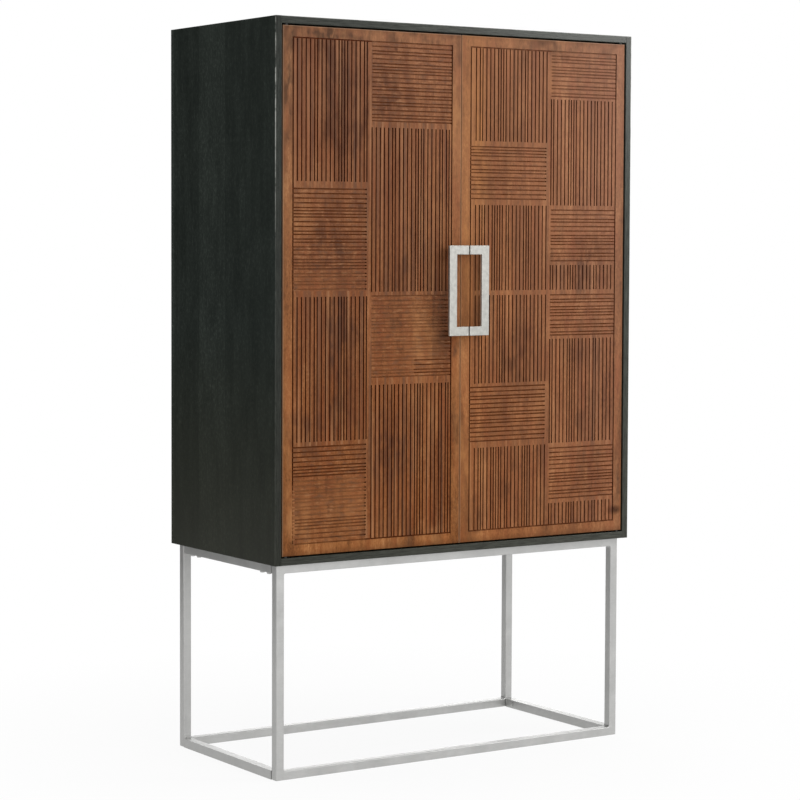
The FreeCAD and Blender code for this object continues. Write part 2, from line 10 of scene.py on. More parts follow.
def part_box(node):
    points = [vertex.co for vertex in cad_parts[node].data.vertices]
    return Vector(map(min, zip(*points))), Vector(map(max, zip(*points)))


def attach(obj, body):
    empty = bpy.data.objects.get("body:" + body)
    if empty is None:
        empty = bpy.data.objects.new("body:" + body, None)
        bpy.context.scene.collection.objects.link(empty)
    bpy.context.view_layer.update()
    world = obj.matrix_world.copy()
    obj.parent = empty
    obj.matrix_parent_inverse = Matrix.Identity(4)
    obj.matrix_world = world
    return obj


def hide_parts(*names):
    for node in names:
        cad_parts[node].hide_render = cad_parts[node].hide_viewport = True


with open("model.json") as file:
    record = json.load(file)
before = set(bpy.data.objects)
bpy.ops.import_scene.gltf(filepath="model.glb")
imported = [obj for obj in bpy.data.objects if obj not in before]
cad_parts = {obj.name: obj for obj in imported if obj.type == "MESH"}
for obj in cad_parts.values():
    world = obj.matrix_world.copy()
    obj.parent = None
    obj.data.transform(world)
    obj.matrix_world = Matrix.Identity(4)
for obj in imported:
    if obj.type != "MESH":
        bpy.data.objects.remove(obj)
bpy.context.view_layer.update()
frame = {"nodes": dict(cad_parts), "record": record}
NODES = frame["nodes"]
MM = 0.001

# Places of the object, in metres, read from the frame
left_door_low, left_door_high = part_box("left_door_panel")
side_low, side_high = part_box("right_side_panel")
DOOR_FRONT = left_door_low.y
DOOR_MIDDLE_Z = (left_door_low.z + left_door_high.z) / 2
CARCASE_FRONT = side_low.y
CARCASE_SIDE = side_high.x
CARCASE_BOTTOM = side_low.z
CARCASE_TOP = side_high.z

# Sizes of the object that the looks follow
DOOR_BORDER = 25 * MM
DOOR_BORDER_BLUR = 1 * MM
BOARD_WIDTH = 118 * MM
TUBE_ROUNDING = 2.4 * MM
ROUNDING_STEPS = 3
ROUNDED_FROM_ANGLE = math.radians(40)
WELD_ARC_STEPS = 6

# Camera, fitted to the corners of the cabinet and of its base in an image of 800 by 800 pixels
CAMERA_PLACE = (-3.1269, -4.7123, 1.1838)
CAMERA_YAW = 33.4066
CAMERA_PITCH = -2.942
CAMERA_ROLL = 0.2265
CAMERA_FOCAL_PIXELS = 2441.3
CAMERA_SHIFT_Y = -0.05
IMAGE_PIXELS = 800
SENSOR_MM = 36.0

# Stage; the floor's share of white goes by the distance: from, to, and the shares at these two
WHITE = (1.0, 1.0, 1.0)
FLOOR_REACH = 30.0
FLOOR_COLOUR = (0.90, 0.90, 0.90)
FLOOR_WHITE_BY_DISTANCE = (0.4, 1.4, 0.92, 1.0)
FLAG_COLOUR = (0.035, 0.035, 0.035)
FLAG_MIDDLE = Vector((-1.9, 2.3, 0.0))
FLAG_ALONG = Vector((0.87, 0.49, 0.0))
FLAG_HALF_WIDTH = 1.7
FLAG_FOOT, FLAG_TOP = 0.02, 3.2
WORLD_LIGHT = 0.38


class Lamp(NamedTuple):
    """Soft rectangular lamp: where it stands, what it is turned to, its size and its watts."""

    place: tuple
    target: tuple
    size: tuple
    power: float


LAMPS = {
    "key_right": Lamp((2.0, -1.9, 2.15), (0.3, CARCASE_FRONT, 1.25), (1.0, 1.2), 34.0),
    "front_fill": Lamp((0.2, -5.5, 1.8), (0.0, CARCASE_FRONT, DOOR_MIDDLE_Z), (2.6, 2.2), 84.0),
    "overhead": Lamp((0.2, 0.2, 4.2), (0.0, 0.0, 0.0), (3.0, 3.0), 60.0),
    "low_back": Lamp((1.7, 2.6, 0.75), (0.0, 0.0, 0.1), (1.4, 0.5), 6.0),
}


class Noise(NamedTuple):
    """Noise with its scale per metre along each axis; the smaller the scale, the longer its streaks."""

    scale: tuple
    detail: float = 3.0
    roughness: float = 0.55
    distortion: float = 0.0
    offset: tuple = (0.0, 0.0, 0.0)

    def along(self, stretch, power):
        """The same noise drawn out along a board, the more so the higher the power is."""
        drawn_out = tuple(size * share ** power for size, share in zip(self.scale, stretch))
        return self._replace(scale=drawn_out)


class Tree:
    """Adds and links the nodes of one material or world."""

    # Numbers of the sockets that the Mix node uses for colours
    MIX_FACTOR, MIX_FIRST, MIX_SECOND, MIX_RESULT = 0, 6, 7, 2

    def __init__(self, owner):
        owner.use_nodes = True
        self.tree = owner.node_tree
        self.tree.nodes.clear()

    def add(self, kind, inputs=None, **settings):
        """New node; an input is a socket to link or a value to set, by name or by number."""
        node = self.tree.nodes.new("ShaderNode" + kind)
        for name, value in settings.items():
            setattr(node, name, value)
        for key, value in (inputs or {}).items():
            self.put(node.inputs[key], value)
        return node

    def put(self, socket, value):
        """Link a socket or set its value; a colour is given without its alpha."""
        if isinstance(value, bpy.types.NodeSocket):
            self.tree.links.new(value, socket)
        elif socket.type == "RGBA":
            socket.default_value = (*value, 1.0)
        else:
            socket.default_value = value

    def math(self, operation, *values):
        return self.add("Math", dict(enumerate(values)), operation=operation).outputs["Value"]

    def fold(self, operation, first, *others):
        """One operation over all the values in turn."""
        for value in others:
            first = self.math(operation, first, value)
        return first

    def product(self, *values):
        return self.fold("MULTIPLY", *values)

    def total(self, *values):
        return self.fold("ADD", *values)

    def least(self, *values):
        return self.fold("MINIMUM", *values)

    def weighted(self, values, weights):
        """Sum of named values, each times its weight."""
        total = 0.0
        for name, weight in weights.items():
            total = self.math("MULTIPLY_ADD", values[name], weight, total)
        return total

    def vector(self, operation, *values):
        """Vector that one operation makes of vectors."""
        return self.add("VectorMath", dict(enumerate(values)), operation=operation).outputs["Vector"]

    def length(self, vector):
        return self.add("VectorMath", {0: vector}, operation="LENGTH").outputs["Value"]

    def split(self, vector):
        """X, Y and Z of a vector, by name or by number."""
        return self.add("SeparateXYZ", {"Vector": vector}).outputs

    def remap(self, value, low, high, to_low=0.0, to_high=1.0):
        """Straight-line change of range, held at both ends."""
        inputs = {"Value": value, "From Min": low, "From Max": high, "To Min": to_low, "To Max": to_high}
        return self.add("MapRange", inputs, clamp=True).outputs["Result"]

    def mix(self, factor, first, second, blend="MIX"):
        """Colour mix of two colours or sockets."""
        inputs = {self.MIX_FACTOR: factor, self.MIX_FIRST: first, self.MIX_SECOND: second}
        node = self.add("Mix", inputs, data_type="RGBA", blend_type=blend)
        return node.outputs[self.MIX_RESULT]

    def ramp(self, value, stops):
        """Colour ramp through (place, colour) stops."""
        node = self.add("ValToRGB", {"Fac": value})
        elements = node.color_ramp.elements
        while len(elements) < len(stops):
            elements.new(1.0)
        for element, (place, colour) in zip(elements, stops):
            element.position = place
            element.color = (*colour, 1.0)
        return node.outputs["Color"]

    def object_place(self):
        return self.add("TexCoord").outputs["Object"]

    def noise(self, place, noise):
        """Grey value of a noise at a place."""
        mapping = self.add("Mapping", {"Vector": place, "Scale": noise.scale, "Location": noise.offset})
        inputs = {
            "Vector": mapping.outputs["Vector"],
            "Scale": 1.0,
            "Detail": noise.detail,
            "Roughness": noise.roughness,
            "Distortion": noise.distortion,
        }
        return self.add("TexNoise", inputs).outputs["Fac"]

    def bump(self, height, strength, distance):
        inputs = {"Strength": strength, "Distance": distance, "Height": height}
        return self.add("Bump", inputs).outputs["Normal"]

    def surface(self, **inputs):
        """Principled shader wired to the material's output."""
        named = {name.replace("_", " "): value for name, value in inputs.items()}
        shader = self.add("BsdfPrincipled", named)
        self.add("OutputMaterial", {"Surface": shader.outputs["BSDF"]})


def new_material(name):
    material = bpy.data.materials.new(name)
    return material, Tree(material)


class Mark(NamedTuple):
    """Place on a door front, in metres: its middle across and up, its half sizes and its strength."""

    across: float
    up: float
    half_width: float
    half_height: float
    strength: float


def marks(*rows):
    return [Mark(*row) for row in rows]


# The two columns of grooved blocks on a door: how far the middle is from the cabinet's, and half width
OUTER_COLUMN = (0.3435, 0.0927)
INNER_COLUMN = (0.1324, 0.1050)
LEFT, RIGHT = -1, 1


def level_blocks(side, column, *rows):
    """Marks over the level grooves of one column; a row is its middle, half height and strength."""
    middle, half_width = column
    return [Mark(side * middle, up, half_width, half_height, strength)
            for up, half_height, strength in rows]


class DoorFinish(NamedTuple):
    """What tells the walnut of one door from that of the other.

    Smoke and light are soft and drift with the grain; the light mark inside the right handle's loop
    is painted light over the handle's shadow. Staves are strips with hard sides, scars are small and
    sharp, and grooves show less where worn, with a pale colour painted in as painted light over their
    own shade. The strength of a level block is how dark, or how light if below zero, the floors of its
    grooves are; the light floors are painted light over the grooves' shade, and the dark mark beside
    the left handle is a painted shadow of the handle. The groove shares are the least and the most
    residue and painted shade in the upright grooves. The painted sheen shares, paler towards the top,
    are those at the bottom and at the top. The painted sheen tint goes from warm to cool along its axis.
    """

    node: str
    field_share: float
    field_colour: tuple
    groove_shares: tuple
    painted_sheen_by_height: tuple
    painted_sheen_tint_axis: str
    painted_sheen_tint_share: float
    smoke: list
    light: list
    staves: list
    scars: list
    worn_and_painted_light: list
    level_blocks: list


LEFT_DOOR = DoorFinish(
    node="left_door_panel",
    field_share=0.30,
    field_colour=(0.138, 0.034, 0.014),
    groove_shares=(0.70, 1.0),
    # Painted sheen: paler towards the top, and a tint from warm at the bottom to cool at the top
    painted_sheen_by_height=(-0.06, 0.20),
    painted_sheen_tint_axis="Z",
    painted_sheen_tint_share=0.3,
    smoke=marks(
        (-0.318, 1.450, 0.065, 0.180, 0.50),
        (-0.338, 1.500, 0.026, 0.090, 0.60),
        (-0.328, 1.420, 0.026, 0.060, 0.30),
        (-0.300, 1.400, 0.022, 0.035, 0.40),
        (-0.266, 1.390, 0.022, 0.060, 0.75),
        (-0.276, 1.550, 0.016, 0.050, 0.30),
        (-0.360, 1.617, 0.120, 0.014, 0.70),
        (-0.120, 1.617, 0.130, 0.016, 0.70),
        (-0.157, 0.507, 0.040, 0.016, 0.40),
        (-0.375, 1.590, 0.060, 0.040, 0.70),
        (-0.005, 1.590, 0.030, 0.035, 0.40),
        (-0.200, 1.500, 0.060, 0.090, 0.80),
        (-0.352, 1.195, 0.040, 0.090, 0.60),
        (-0.270, 1.255, 0.025, 0.030, 0.50),
        (-0.150, 1.118, 0.030, 0.070, 0.70),
        (-0.410, 0.757, 0.055, 0.050, 0.80),
        (-0.305, 1.155, 0.060, 0.050, 0.30),
        (-0.320, 0.955, 0.040, 0.130, 0.50),
        (-0.332, 0.977, 0.035, 0.050, 0.80),
        (-0.333, 0.900, 0.016, 0.018, 0.50),
        (-0.345, 0.800, 0.014, 0.050, 0.45),
        (-0.275, 0.968, 0.018, 0.014, 0.45),
        (-0.420, 0.895, 0.010, 0.012, 0.45),
        (-0.305, 0.820, 0.050, 0.080, 0.40),
        (-0.178, 1.335, 0.030, 0.090, 0.45),
        (-0.100, 1.200, 0.040, 0.120, 0.40),
        (-0.012, 0.925, 0.014, 0.016, 0.70),
        (-0.184, 0.983, 0.018, 0.018, 0.50),
        (-0.208, 0.947, 0.018, 0.018, 0.45),
        (-0.125, 0.933, 0.014, 0.008, 0.60),
        (-0.383, 0.703, 0.014, 0.022, 0.55),
        (-0.344, 0.612, 0.014, 0.030, 0.40),
        (-0.292, 0.645, 0.013, 0.016, 0.40),
        (-0.255, 0.525, 0.013, 0.022, 0.55),
        (-0.185, 0.705, 0.080, 0.085, 0.80),
        (-0.448, 1.500, 0.020, 0.180, 0.70),
    ),
    light=marks(
        (-0.110, 0.945, 0.040, 0.085, 0.75),
        (-0.096, 1.020, 0.020, 0.040, 0.35),
        (-0.028, 1.428, 0.012, 0.100, 0.30),
        (-0.103, 1.238, 0.010, 0.080, 0.25),
        (-0.423, 1.203, 0.035, 0.055, 0.75),
        (-0.318, 0.802, 0.012, 0.050, 0.25),
        (-0.010, 0.700, 0.016, 0.220, 0.30),
        (-0.008, 1.440, 0.016, 0.120, 0.40),
        (-0.425, 0.580, 0.040, 0.060, 0.65),
        (-0.310, 0.565, 0.075, 0.060, 0.45),
        (-0.065, 1.250, 0.035, 0.100, 0.25),
        (-0.080, 0.795, 0.030, 0.060, 0.65),
        (-0.080, 0.513, 0.040, 0.016, 0.60),
        (-0.450, 0.720, 0.014, 0.250, 0.15),
    ),
    staves=marks(
        (-0.0500, 0.995, 0.0265, 0.130, 0.62),
        (-0.3250, 1.470, 0.0300, 0.120, 0.18),
    ),
    scars=marks(
        (-0.175, 1.590, 0.006, 0.006, 0.80),
        (-0.352, 0.640, 0.005, 0.040, 0.45),
        (-0.347, 0.588, 0.004, 0.016, 0.60),
    ),
    worn_and_painted_light=marks(
        (-0.4365, 0.575, 0.0060, 0.075, 0.85),
    ),
    level_blocks=[
        *level_blocks(
            LEFT, OUTER_COLUMN,
            (1.222, 0.063, 0.90),
            (1.111, 0.050, 0.35),
            (1.083, 0.022, -0.45),
            (0.691, 0.036, 0.90),
            (0.616, 0.042, -0.25),
            (0.545, 0.032, 0.25),
        ),
        *level_blocks(
            LEFT, INNER_COLUMN,
            (1.518, 0.089, 0.65),
            (0.960, 0.091, -0.12),
        ),
        *marks(
            # Painted shadow of the handle on the ends of the level grooves beside it
            (-0.0330, 0.985, 0.0080, 0.056, 1.10),
            (-0.0750, 0.893, 0.0490, 0.018, 0.90),
        ),
    ],
)
RIGHT_DOOR = DoorFinish(
    node="right_door_panel",
    field_share=0.20,
    field_colour=(0.205, 0.066, 0.030),
    groove_shares=(0.36, 0.76),
    # Painted sheen: paler towards the top, and a tint from warm at the left to cool at the right
    painted_sheen_by_height=(0.06, 0.28),
    painted_sheen_tint_axis="X",
    painted_sheen_tint_share=0.9,
    smoke=marks(
        (0.310, 1.617, 0.190, 0.016, 0.50),
        (0.150, 0.900, 0.080, 0.090, 0.50),
        (0.125, 1.180, 0.060, 0.090, 0.30),
        (0.162, 1.422, 0.040, 0.060, 0.35),
        (0.358, 1.100, 0.060, 0.070, 0.85),
        (0.270, 1.115, 0.030, 0.040, 0.55),
        (0.370, 0.940, 0.040, 0.070, 0.50),
        (0.360, 1.235, 0.030, 0.060, 0.35),
        (0.020, 1.560, 0.020, 0.040, 0.35),
        (0.070, 0.690, 0.030, 0.050, 0.35),
        (0.340, 0.760, 0.050, 0.090, 0.45),
        (0.159, 0.703, 0.045, 0.045, 0.50),
        (0.048, 0.552, 0.030, 0.070, 0.65),
        (0.122, 0.780, 0.050, 0.050, 0.30),
        (0.137, 0.608, 0.070, 0.060, 0.35),
        (0.365, 0.635, 0.040, 0.070, 0.35),
        (0.450, 0.600, 0.014, 0.110, 0.45),
    ),
    light=marks(
        (0.280, 0.965, 0.012, 0.060, 0.20),
        (0.045, 1.380, 0.030, 0.200, 0.65),
        (0.339, 1.415, 0.035, 0.070, 0.40),
        (0.250, 1.510, 0.020, 0.080, 0.30),
        (0.020, 1.190, 0.030, 0.030, 0.50),
        # Painted light over the handle's shadow inside its loop
        (0.035, 1.060, 0.030, 0.070, 0.65),
        (0.012, 0.680, 0.020, 0.080, 0.45),
        (0.224, 0.800, 0.025, 0.060, 0.45),
        (0.298, 0.880, 0.020, 0.070, 0.40),
        (0.226, 0.575, 0.025, 0.060, 0.35),
    ),
    staves=marks(
        (0.1050, 0.775, 0.0250, 0.070, 0.18),
        (0.1700, 0.895, 0.0420, 0.130, 0.22),
    ),
    scars=marks(
        (0.4430, 0.540, 0.0240, 0.0125, 0.95),
    ),
    worn_and_painted_light=[],
    level_blocks=[
        *level_blocks(
            RIGHT, OUTER_COLUMN,
            (1.553, 0.053, 0.35),
            (1.183, 0.060, 0.60),
            (1.000, 0.048, 0.65),
            (0.635, 0.060, 0.65),
        ),
        *level_blocks(
            RIGHT, INNER_COLUMN,
            (1.323, 0.060, 0.60),
            (0.779, 0.063, 0.95),
        ),
    ],
)

# Where an oval mark is full and where it ends, in its half sizes
SOFT_OVAL = (0.1, 1.3)
SHARP_OVAL = (0.35, 1.1)

# Where a mark with hard sides begins to fade, in its half sizes; the fades are those up and down
HARD_SIDE = 0.97
STAVE_FADE = 0.5
WORN_AND_PAINTED_LIGHT_FADE = 0.6


def from_middle(t, place, mark):
    """Offset from the middle of a mark, in its half widths across and half heights up."""
    shift = t.vector("SUBTRACT", place, (mark.across, 0.0, mark.up))
    return t.vector("MULTIPLY", shift, (1 / mark.half_width, 0.0, 1 / mark.half_height))


def oval_share(t, place, ovals, full_and_end):
    """Sum of oval marks."""
    total = 0.0
    for oval in ovals:
        distance = t.length(from_middle(t, place, oval))
        total = t.math("ADD", total, t.remap(distance, *full_and_end, oval.strength, 0.0))
    return total


def block_share(t, place, blocks, fade=HARD_SIDE, strength=None):
    """Sum of rectangular marks with hard sides, which fade out upwards and downwards."""
    total = 0.0
    for block in blocks:
        offset = t.split(t.vector("ABSOLUTE", from_middle(t, place, block)))
        across = t.remap(offset["X"], HARD_SIDE, 1.0, strength or block.strength, 0.0)
        total = t.math("MULTIPLY_ADD", across, t.remap(offset["Z"], fade, 1.0, 1.0, 0.0), total)
    return total


WALNUT_NOISES = {
    "figure": Noise((26.0, 26.0, 3.2), detail=4.0, distortion=0.6),
    "ridges": Noise((110.0, 110.0, 14.0), roughness=0.6),
    "fine": Noise((420.0, 420.0, 34.0), detail=4.0, roughness=0.65),
    "grit": Noise((330.0, 330.0, 150.0), roughness=0.7, offset=(1.9, 0.0, 5.3)),
    "mottle": Noise((125.0, 125.0, 72.0), detail=2.0, roughness=0.6, offset=(5.2, 0.0, 0.7)),
    "pores": Noise((1500.0, 1500.0, 55.0), detail=2.0),
    "blush": Noise((45.0, 45.0, 8.0), detail=2.0, offset=(7.3, 0.0, 4.1)),
    "smoke": Noise((17.0, 17.0, 3.6), distortion=0.8, offset=(3.1, 0.0, 1.7)),
    "patches": Noise((55.0, 55.0, 20.0), offset=(2.7, 0.0, 8.4)),
    "spots": Noise((70.0, 70.0, 42.0), detail=2.0, offset=(4.4, 0.0, 2.9)),
    "slats_up": Noise((100.0, 0.0, 2.0), detail=1.0, offset=(0.6, 0.0, 3.3)),
    "slats_across": Noise((34.0, 0.0, 115.0), roughness=0.7, offset=(2.2, 0.0, 0.9)),
    "residue_and_shade": Noise((75.0, 75.0, 9.0), roughness=0.6),
    "dark_floor_patches": Noise((24.0, 24.0, 75.0), roughness=0.6),
    "tear": Noise((260.0, 0.0, 260.0), detail=2.0, roughness=0.7),
}
WALNUT_WEIGHTS = {"figure": 0.34, "ridges": 0.14, "fine": 0.12, "grit": 0.26, "mottle": 0.14}
WALNUT_TONES = (
    (0.385, (0.105, 0.036, 0.012)),
    (0.467, (0.235, 0.087, 0.028)),
    (0.533, (0.315, 0.125, 0.043)),
    (0.610, (0.450, 0.205, 0.080)),
)
WALNUT_COLOURS = {
    "blush": (0.255, 0.072, 0.024),
    "painted_sheen_pale": (0.330, 0.210, 0.150),
    "smoke": (0.063, 0.033, 0.020),
    "light": (0.480, 0.225, 0.088),
    "pores": (0.045, 0.018, 0.008),
    "scars": (0.040, 0.016, 0.008),
    "dark_slats": (0.115, 0.068, 0.045),
    "pale_slats_and_sheen": (0.430, 0.220, 0.110),
    "dark_edge": (0.090, 0.036, 0.014),
    "painted_highlight_rim": (0.560, 0.360, 0.230),
    "worn_groove_painted_light": (0.600, 0.300, 0.130),
    "painted_light_level_floor": (0.550, 0.260, 0.105),
    "dark_level_floor": (0.130, 0.036, 0.0085),
    "upright_floor": (0.086, 0.0150, 0.0010),
    "upright_wall_painted_shade": (0.044, 0.0065, 0.0004),
}
# Ends of the painted sheen tint
PAINTED_SHEEN_WARM_END = (1.06, 0.98, 0.84)
PAINTED_SHEEN_COOL_END = (0.97, 1.01, 1.20)

# Changes of range: from, to, and the shares at these two; lengths are in metres
WALNUT_RANGES = {
    "blush": (0.45, 0.70, 0.0, 0.50),
    "smoke": (0.52, 0.74, 0.0, 0.45),
    "spots": (0.60, 0.74, 0.0, 0.28),
    "smoke_patches": (0.40, 0.60, 0.3, 1.4),
    "light_patches": (0.40, 0.60, 1.2, 0.4),
    "ridge_streaks": (0.30, 0.70, 0.25, 0.80),
    "grit_streaks": (0.30, 0.70, 0.15, 0.55),
    "pores": (0.62, 0.72, 0.0, 0.4),
    "scar_grit": (0.3, 0.6, 0.6, 1.0),
    "dark_slats": (0.50, 0.66, 0.0, 1.6),
    "pale_slats_and_sheen": (0.46, 0.32, 0.0, 1.4),
    "dark_rim": (0.0, 12.0 * MM, 0.30, 0.0),
    "dark_bottom": (0.0, 14.0 * MM, 0.30, 0.0),
    "painted_highlight_rim": (0.6 * MM, 2.2 * MM, 0.40, 0.0),
    "below_front": (0.05 * MM, 0.5 * MM, 0.0, 1.0),
    "within_groove_depth": (4.0 * MM, 5.0 * MM, 1.0, 0.0),
    "inside_edge": (4.0 * MM, 5.0 * MM, 0.0, 1.0),
    "facing_sideways": (0.3, 0.8, 0.0, 1.0),
    "dark_floor_patches": (0.35, 0.65, 0.45, 1.40),
    "tear": (0.35, 0.65, 0.60, 1.40),
    "roughness": (0.3, 0.7, 0.48, 0.38),
}
RESIDUE_AND_SHADE_LEAST_AND_MOST = (0.36, 0.60)
SMOKE_LIMIT = 0.80
DRIFT_SCALE, DRIFT_DETAIL = 14.0, 2.0
NOISE_MIDDLE = (0.5, 0.5, 0.5)
SOFT_DRIFT = (0.05, 0.0, 0.12)
RAGGED_DRIFT = (0.005, 0.0, 0.0036)
FINE_RELIEF, PORE_RELIEF = 0.5, -1.5
WALNUT_BUMP, WALNUT_BUMP_DEPTH = 0.35, 0.25 * MM
WALNUT_SPECULAR = 0.04


class Walnut:
    """Oiled walnut of one door: upright grain, smoky streaks, a painted highlight on the lit edges, a
    painted sheen, and grooves darkened by residue and painted shade and lightened in places by painted
    light, in that order.
    """

    def __init__(self, name, door):
        self.door = door
        self.material, self.t = new_material(name)
        self.place = self.t.object_place()
        self.axes = self.t.split(self.place)
        self.noise = {key: self.t.noise(self.place, noise) for key, noise in WALNUT_NOISES.items()}
        self.low, self.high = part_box(door.node)
        self.measure_edges()
        self.lay_grain()
        self.lay_smoke_and_light()
        self.lay_pores_and_scars()
        self.lay_slats()
        self.lay_edges()
        self.lay_painted_sheen_tint()
        self.find_grooves()
        self.lay_level_grooves()
        self.lay_upright_grooves()
        self.finish()

    def paint(self, colour, share):
        """Lay a colour over the wood."""
        self.wood = self.t.mix(share, self.wood, WALNUT_COLOURS[colour])

    def ranged(self, value, name):
        return self.t.remap(value, *WALNUT_RANGES[name])

    def measure_edges(self):
        """Distances from the edges of the door; the rim is all but the meeting edge."""
        t, low, high = self.t, self.low, self.high
        across = t.math("ABSOLUTE", self.axes["X"])
        self.from_meeting = t.math("SUBTRACT", across, min(abs(low.x), abs(high.x)))
        self.from_left = t.math("SUBTRACT", self.axes["X"], low.x)
        self.from_bottom = t.math("SUBTRACT", self.axes["Z"], low.z)
        self.from_top = t.math("SUBTRACT", high.z, self.axes["Z"])
        from_hinge_side = t.math("SUBTRACT", max(abs(low.x), abs(high.x)), across)
        self.from_rim = t.least(from_hinge_side, self.from_top, self.from_bottom)
        self.from_edge = t.least(self.from_rim, self.from_meeting)

    def lay_grain(self):
        """Tones of the grain, reddish in places, and a painted sheen that makes the wood paler towards
        the top.
        """
        t = self.t
        self.tone = t.weighted(self.noise, WALNUT_WEIGHTS)
        self.wood = t.ramp(self.tone, WALNUT_TONES)
        self.paint("blush", self.ranged(self.noise["blush"], "blush"))
        # Painted sheen: paler towards the top of the door
        self.paint("painted_sheen_pale", t.remap(self.axes["Z"], self.low.z, self.high.z, *self.door.painted_sheen_by_height))

    def drifted(self, reach):
        """Places moved about by a slow noise, so that marks lose their plain outlines."""
        t = self.t
        inputs = {"Vector": self.place, "Scale": DRIFT_SCALE, "Detail": DRIFT_DETAIL}
        centred = t.vector("SUBTRACT", t.add("TexNoise", inputs).outputs["Color"], NOISE_MIDDLE)
        return t.vector("ADD", self.place, t.vector("MULTIPLY", centred, reach))

    def lay_smoke_and_light(self):
        """Dark and light streaks, some all over and some at the door's own marks."""
        t, noise, door = self.t, self.noise, self.door
        drifted = self.drifted(SOFT_DRIFT)
        marked = oval_share(t, drifted, door.smoke, SOFT_OVAL)
        smoke = t.total(
            self.ranged(noise["smoke"], "smoke"),
            self.ranged(noise["spots"], "spots"),
            t.product(marked, self.ranged(noise["patches"], "smoke_patches")),
            block_share(t, self.place, door.staves, STAVE_FADE),
        )
        streaks = t.total(
            self.ranged(noise["ridges"], "ridge_streaks"),
            self.ranged(noise["grit"], "grit_streaks"),
        )
        self.paint("smoke", t.least(t.product(smoke, streaks), SMOKE_LIMIT))
        light = oval_share(t, drifted, door.light, SOFT_OVAL)
        self.paint("light", t.product(light, self.ranged(noise["patches"], "light_patches")))

    def lay_pores_and_scars(self):
        t = self.t
        self.pores = self.ranged(self.noise["pores"], "pores")
        self.paint("pores", self.pores)
        scars = oval_share(t, self.drifted(RAGGED_DRIFT), self.door.scars, SHARP_OVAL)
        self.paint("scars", t.product(scars, self.ranged(self.noise["grit"], "scar_grit")))

    def lay_slats(self):
        """Tone of the grooved field, and slats between the grooves that differ from each other; the pale
        slats carry a painted sheen as well as their lighter tone.
        """
        t, noise, door = self.t, self.noise, self.door
        starts, ends = DOOR_BORDER - DOOR_BORDER_BLUR, DOOR_BORDER + DOOR_BORDER_BLUR
        in_field = t.remap(self.from_edge, starts, ends, 0.0, door.field_share)
        self.wood = t.mix(in_field, self.wood, door.field_colour)
        self.level_here = t.least(block_share(t, self.place, door.level_blocks, strength=1.0), 1.0)
        turned = t.math("SUBTRACT", noise["slats_across"], noise["slats_up"])
        slats = t.math("MULTIPLY_ADD", self.level_here, turned, noise["slats_up"])
        # Dark and pale slats; the pale ones carry a painted sheen besides their lighter tone
        for name in ("dark_slats", "pale_slats_and_sheen"):
            self.paint(name, t.product(self.ranged(slats, name), in_field))

    def lay_edges(self):
        """Darker towards the rim, with a painted highlight along the edges that catch the light."""
        self.paint("dark_edge", self.ranged(self.from_rim, "dark_rim"))
        self.paint("dark_edge", self.ranged(self.from_bottom, "dark_bottom"))
        # Painted highlight along the top, left and meeting edges
        from_light = self.t.least(self.from_top, self.from_left, self.from_meeting)
        self.paint("painted_highlight_rim", self.ranged(from_light, "painted_highlight_rim"))

    def lay_painted_sheen_tint(self):
        """Painted sheen: a tint that goes from warm to cool along one axis of the door."""
        t = self.t
        axis = "XYZ".index(self.door.painted_sheen_tint_axis)
        cool = t.remap(self.axes[axis], self.low[axis], self.high[axis])
        tint = t.mix(cool, PAINTED_SHEEN_WARM_END, PAINTED_SHEEN_COOL_END)
        self.wood = t.mix(self.door.painted_sheen_tint_share, self.wood, tint, blend="MULTIPLY")

    def find_grooves(self):
        """Share of groove at a place: below the front, no deeper than a groove, off the door's edges."""
        t = self.t
        depth = t.math("SUBTRACT", self.axes["Y"], DOOR_FRONT)
        in_groove = t.product(
            self.ranged(depth, "below_front"),
            self.ranged(depth, "within_groove_depth"),
            self.ranged(self.from_edge, "inside_edge"),
        )
        # Worn grooves lose their residue, and a pale colour is painted in: painted light over the
        # groove's own shade
        worn_and_painted_light = block_share(t, self.place, self.door.worn_and_painted_light, WORN_AND_PAINTED_LIGHT_FADE)
        self.paint("worn_groove_painted_light", t.product(in_groove, worn_and_painted_light))
        self.in_groove = t.product(in_groove, t.math("SUBTRACT", 1.0, worn_and_painted_light))

    def lay_level_grooves(self):
        """Level grooves, block by block: floors painted lighter, painted light over the grooves' own
        shade, or darker in patches; one dark mark is a painted shadow of the handle.
        """
        t = self.t
        tone = block_share(t, self.place, self.door.level_blocks)
        # Painted light: lighter floors where a block's strength is below zero
        pale = t.math("MAXIMUM", t.product(tone, -1.0), 0.0)
        self.paint("painted_light_level_floor", t.product(pale, self.in_groove))
        dark = t.product(
            t.math("MAXIMUM", tone, 0.0),
            self.ranged(self.noise["dark_floor_patches"], "dark_floor_patches"),
            self.ranged(self.noise["tear"], "tear"),
        )
        self.paint("dark_level_floor", t.product(self.in_groove, t.least(dark, 1.0)))

    def lay_upright_grooves(self):
        """Upright grooves darkened: residue on the floors, and residue with painted shade on the walls
        that face sideways.
        """
        t = self.t
        residue_and_shade = t.remap(self.noise["residue_and_shade"], *RESIDUE_AND_SHADE_LEAST_AND_MOST, *self.door.groove_shares)
        upright_here = t.math("SUBTRACT", 1.0, self.level_here)
        self.paint("upright_floor", t.product(self.in_groove, residue_and_shade, upright_here))
        # Painted shade on the groove walls that face sideways
        normal = t.split(t.add("TexCoord").outputs["Normal"])
        painted_shade_wall = self.ranged(t.math("ABSOLUTE", normal["X"]), "facing_sideways")
        self.paint("upright_wall_painted_shade", t.product(self.in_groove, painted_shade_wall, residue_and_shade))

